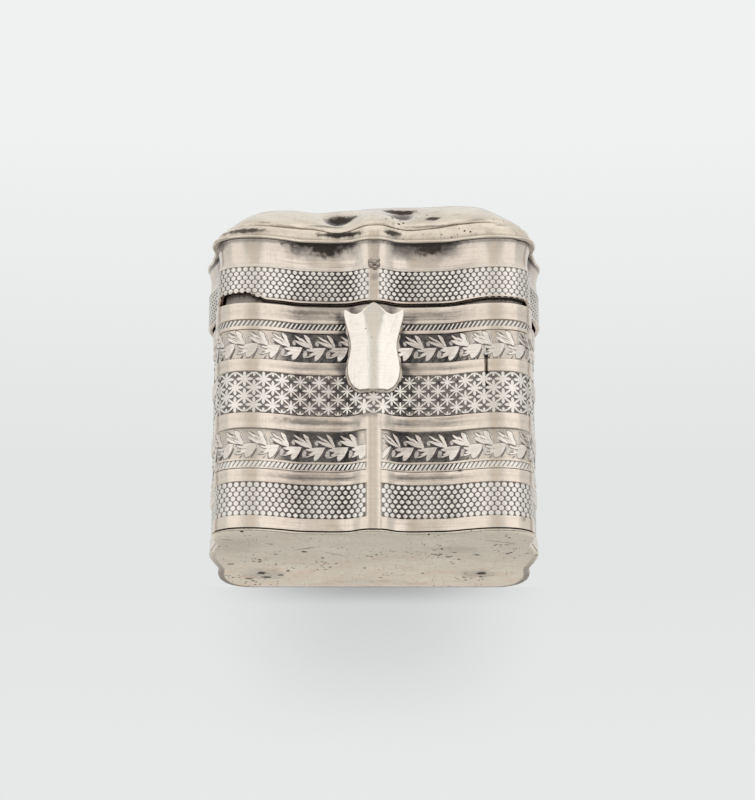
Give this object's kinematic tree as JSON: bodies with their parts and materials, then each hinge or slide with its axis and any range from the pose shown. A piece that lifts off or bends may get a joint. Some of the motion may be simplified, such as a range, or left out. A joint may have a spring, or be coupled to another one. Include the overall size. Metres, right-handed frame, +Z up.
{
  "type": "sponge box",
  "caption": "Small silver box for a scented sponge, with a serpentine banded case, a hinged domed lid and a shield-shaped thumb piece.",
  "frame": {"origin": "on the table, under the middle of the case's plan", "axes": "+Z up, the serpentine front with the shield faces -Y, the hinge is at +Y"},
  "size_m": [0.0336, 0.0245, 0.0366],
  "materials": {
    "case_silver": "roller-printed silver, dark in the cuts and worn bright on the bows",
    "lid_silver": "roller-printed silver, dark in the cuts and in the cove",
    "dome_silver": "stamped silver, worn smooth, warm tarnish in the valleys",
    "plate_silver": "worn silver with scratches and dark pits",
    "shield_silver": "polished silver",
    "liner_silver": "tarnished silver",
    "hinge_silver": "worn silver tube",
    "pin_silver": "silver wire with spread ends"
  },
  "bodies": {
    "case": {"case_wall": "case_silver", "base_plate": "plate_silver", "bezel": "liner_silver", "thumb_shield": "shield_silver", "case_knuckle_left": "hinge_silver", "case_knuckle_centre": "hinge_silver", "case_knuckle_right": "hinge_silver", "hinge_pin": "pin_silver"},
    "lid": {"lid_band": "lid_silver", "lid_top": "dome_silver", "lid_knuckle_left": "hinge_silver", "lid_knuckle_right": "hinge_silver"}
  },
  "joints": [
    {"name": "lid_hinge", "type": "hinge", "parent": "case", "child": "lid", "pos_m": [0, 0.01204, 0.02328], "axis": [-1, 0, 0], "range_deg": [0, 110]}
  ]
}
